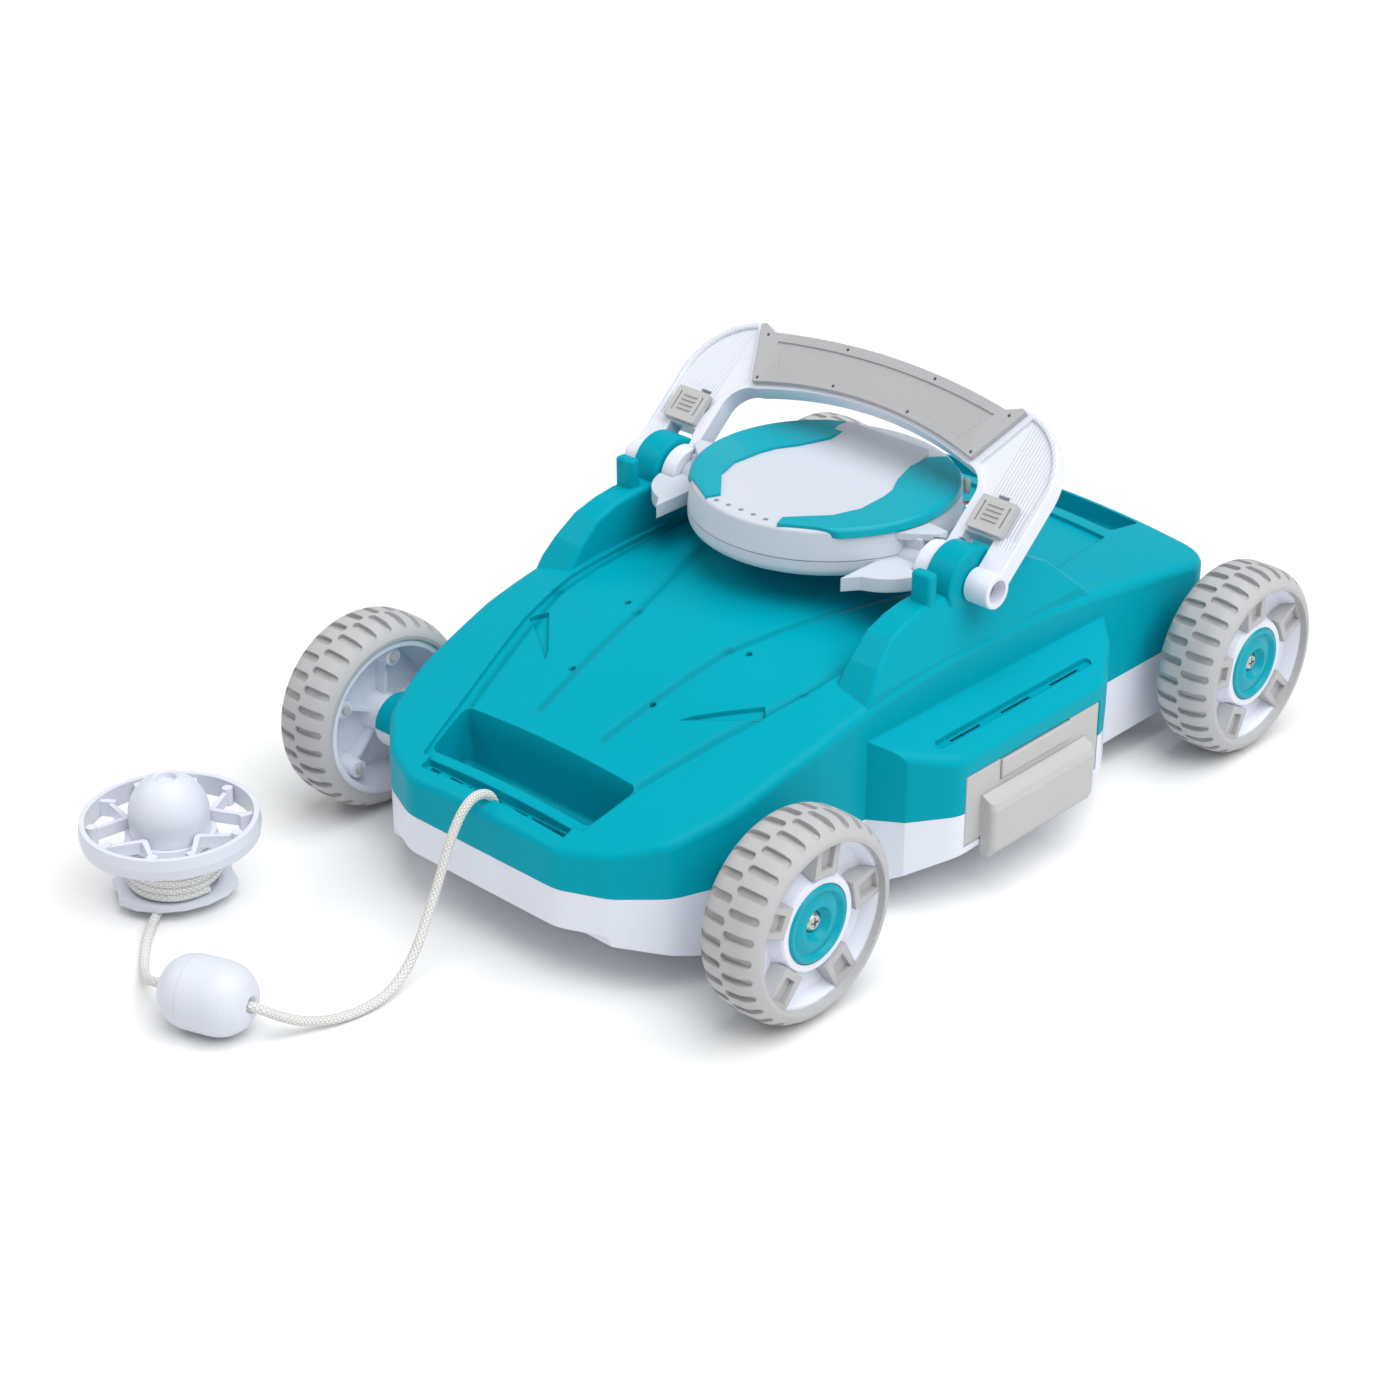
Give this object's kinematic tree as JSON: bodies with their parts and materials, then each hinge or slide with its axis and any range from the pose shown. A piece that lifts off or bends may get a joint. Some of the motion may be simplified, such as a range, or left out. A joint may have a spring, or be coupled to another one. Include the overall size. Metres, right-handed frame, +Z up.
{
  "type": "pool cleaner",
  "caption": "Cordless pool cleaner on treaded wheels with a turquoise cover, a tilting handle and pod, side filter drawers and a rope with floats.",
  "frame": {"origin": "on the ground under the middle of the wheeled body", "axes": "+X to the object's right, +Y towards its tail, +Z up; the nose points along -Y"},
  "size_m": [0.3405, 0.5989, 0.2076],
  "materials": {
    "white_shell": "smooth bluish white moulding",
    "turquoise_shell": "fine satin moulding",
    "turquoise_trim": "glossy moulding",
    "grey_plastic": "plain",
    "grey_grip": "plain",
    "grey_tyre": "plain",
    "white_float": "plain",
    "rope_white": "plain",
    "steel": "plain",
    "black_rubber": "plain",
    "battery_wrap": "plain",
    "board_green": "plain",
    "clear_grey": "plain",
    "mesh_white": "plain"
  },
  "bodies": {
    "chassis": {"lower_shell": "white_shell", "top_cover": "turquoise_shell", "shell_gasket": "black_rubber", "intake_throat": "white_shell", "pump_housing": "grey_plastic", "pump_motor": "steel", "motor_seal": "black_rubber", "axle_front": "steel", "axle_rear": "steel", "axle_bushes": "grey_plastic", "hub_screws": "steel", "cover_screws": "steel", "pivot_pins": "steel", "rope_anchor": "grey_plastic", "rope": "rope_white", "rope_winding": "rope_white", "egg_half_a": "white_float", "egg_half_b": "white_float", "winder_dome": "white_float", "winder_ring": "white_float", "winder_plate": "white_float"},
    "intake_gate": {"intake_flap": "grey_plastic"},
    "rotor": {"impeller": "grey_plastic", "motor_shaft": "steel"},
    "handle": {"handle_frame": "white_shell", "grip_front": "grey_grip", "grip_back": "grey_grip"},
    "pod": {"pod_upper": "white_shell", "pod_lower": "white_shell", "pod_trim_right": "turquoise_trim", "pod_trim_left": "turquoise_trim", "pod_seal": "black_rubber", "battery_pack": "battery_wrap", "circuit_board": "board_green", "light_pipes": "clear_grey"},
    "power_button": {"power_knob": "grey_plastic"},
    "drawer_right": {"filter_drawer_right": "grey_plastic", "filter_screen_right": "mesh_white"},
    "drawer_tab_right": {"drawer_latch_right": "grey_plastic"},
    "handle_lock_right": {"handle_latch_right": "grey_plastic"},
    "drawer_left": {"filter_drawer_left": "grey_plastic", "filter_screen_left": "mesh_white"},
    "drawer_tab_left": {"drawer_latch_left": "grey_plastic"},
    "handle_lock_left": {"handle_latch_left": "grey_plastic"},
    "wheel_front_right": {"wheel_rim_front_right": "white_shell", "wheel_tyre_front_right": "grey_tyre", "hub_cap_front_right": "turquoise_trim"},
    "wheel_front_left": {"wheel_rim_front_left": "white_shell", "wheel_tyre_front_left": "grey_tyre", "hub_cap_front_left": "turquoise_trim"},
    "wheel_rear_right": {"wheel_rim_rear_right": "white_shell", "wheel_tyre_rear_right": "grey_tyre", "hub_cap_rear_right": "turquoise_trim"},
    "wheel_rear_left": {"wheel_rim_rear_left": "white_shell", "wheel_tyre_rear_left": "grey_tyre", "hub_cap_rear_left": "turquoise_trim"}
  },
  "joints": [
    {"name": "spin_front_right", "type": "hinge", "parent": "chassis", "child": "wheel_front_right", "pos_m": [0.14135, -0.1654, 0.05], "axis": [1, 0, 0], "continuous": true},
    {"name": "spin_front_left", "type": "hinge", "parent": "chassis", "child": "wheel_front_left", "pos_m": [-0.14135, -0.1654, 0.05], "axis": [1, 0, 0], "continuous": true},
    {"name": "spin_rear_right", "type": "hinge", "parent": "chassis", "child": "wheel_rear_right", "pos_m": [0.14135, 0.1742, 0.05], "axis": [1, 0, 0], "continuous": true},
    {"name": "spin_rear_left", "type": "hinge", "parent": "chassis", "child": "wheel_rear_left", "pos_m": [-0.14135, 0.1742, 0.05], "axis": [1, 0, 0], "continuous": true},
    {"name": "handle_tilt", "type": "hinge", "parent": "chassis", "child": "handle", "pos_m": [0, 0.00035, 0.141], "axis": [1, 0, 0], "range_deg": [-5, 80]},
    {"name": "pod_tilt", "type": "hinge", "parent": "chassis", "child": "pod", "pos_m": [0, 0.00035, 0.141], "axis": [1, 0, 0], "range_deg": [-3, 3]},
    {"name": "power_press", "type": "slide", "parent": "pod", "child": "power_button", "axis": [-0.6947, -0.7193, 0], "range_m": [0, 0.0008], "stiffness_N_per_m": 400, "springref_m": -0.0005},
    {"name": "drawer_slide_right", "type": "slide", "parent": "chassis", "child": "drawer_right", "axis": [1, 0, 0], "range_m": [0, 0.085]},
    {"name": "drawer_tab_tilt_right", "type": "hinge", "parent": "drawer_right", "child": "drawer_tab_right", "pos_m": [0.1422, 0.0065, 0.0588], "axis": [0, 1, 0], "range_deg": [0, 40], "stiffness_Nm_per_rad": 0.02, "springref_deg": -5.73},
    {"name": "handle_lock_slide_right", "type": "slide", "parent": "handle", "child": "handle_lock_right", "axis": [0, 0.749, 0.6626], "range_m": [0, 0.0055], "stiffness_N_per_m": 150, "springref_m": -0.001},
    {"name": "drawer_slide_left", "type": "slide", "parent": "chassis", "child": "drawer_left", "axis": [-1, 0, 0], "range_m": [0, 0.085]},
    {"name": "drawer_tab_tilt_left", "type": "hinge", "parent": "drawer_left", "child": "drawer_tab_left", "pos_m": [-0.1422, 0.0065, 0.0588], "axis": [0, -1, 0], "range_deg": [0, 40], "stiffness_Nm_per_rad": 0.02, "springref_deg": -5.73},
    {"name": "handle_lock_slide_left", "type": "slide", "parent": "handle", "child": "handle_lock_left", "axis": [0, 0.749, 0.6626], "range_m": [0, 0.0055], "stiffness_N_per_m": 150, "springref_m": -0.001},
    {"name": "gate_swing", "type": "hinge", "parent": "chassis", "child": "intake_gate", "pos_m": [0, -0.03015, 0.027], "axis": [1, 0, 0], "range_deg": [0, 38]},
    {"name": "rotor_spin", "type": "hinge", "parent": "chassis", "child": "rotor", "pos_m": [0, 0.10035, 0.06], "axis": [0, 0, 1], "continuous": true}
  ]
}
